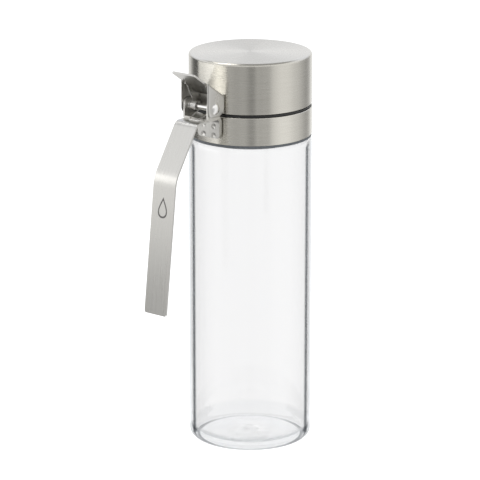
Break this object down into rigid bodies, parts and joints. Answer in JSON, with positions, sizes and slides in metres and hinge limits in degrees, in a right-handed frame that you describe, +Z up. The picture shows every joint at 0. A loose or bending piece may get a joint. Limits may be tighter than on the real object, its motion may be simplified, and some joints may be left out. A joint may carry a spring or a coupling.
{
  "type": "oil dispenser bottle",
  "caption": "Clear glass oil bottle with a steel collar, a strap handle and a sprung hinged lid opened by a thumb lever.",
  "frame": {"origin": "on the bottle's axis, at the underside of its base", "axes": "+Z up along the bottle, -X towards the handle and hinge, +X towards the pouring side"},
  "size_m": [0.1106, 0.065, 0.2107],
  "materials": {
    "clear_glass": "clear, polished",
    "brushed_steel": "fine brushed",
    "satin_steel": "satin",
    "spring_wire": "bright",
    "black_plastic": "satin moulded",
    "grey_silicone": "soft matte"
  },
  "bodies": {
    "bottle": {"glass_bottle": "clear_glass", "shoulder_seal": "grey_silicone", "collar": "brushed_steel", "collar_insert": "black_plastic", "gasket": "grey_silicone", "pourer": "black_plastic", "handle": "satin_steel", "hinge_bracket": "satin_steel", "spring_coils": "spring_wire"},
    "lid": {"lid_cap": "brushed_steel", "lid_liner": "black_plastic", "stopper": "grey_silicone", "lid_lever": "satin_steel", "hinge_pin": "spring_wire", "spring_arm_left": "spring_wire", "spring_arm_right": "spring_wire"}
  },
  "joints": [
    {"name": "lid_hinge", "type": "hinge", "parent": "bottle", "child": "lid", "pos_m": [-0.04, 0, 0.1883], "axis": [0, -1, 0], "range_deg": [0, 80], "stiffness_Nm_per_rad": 0.04, "springref_deg": -85.94}
  ]
}
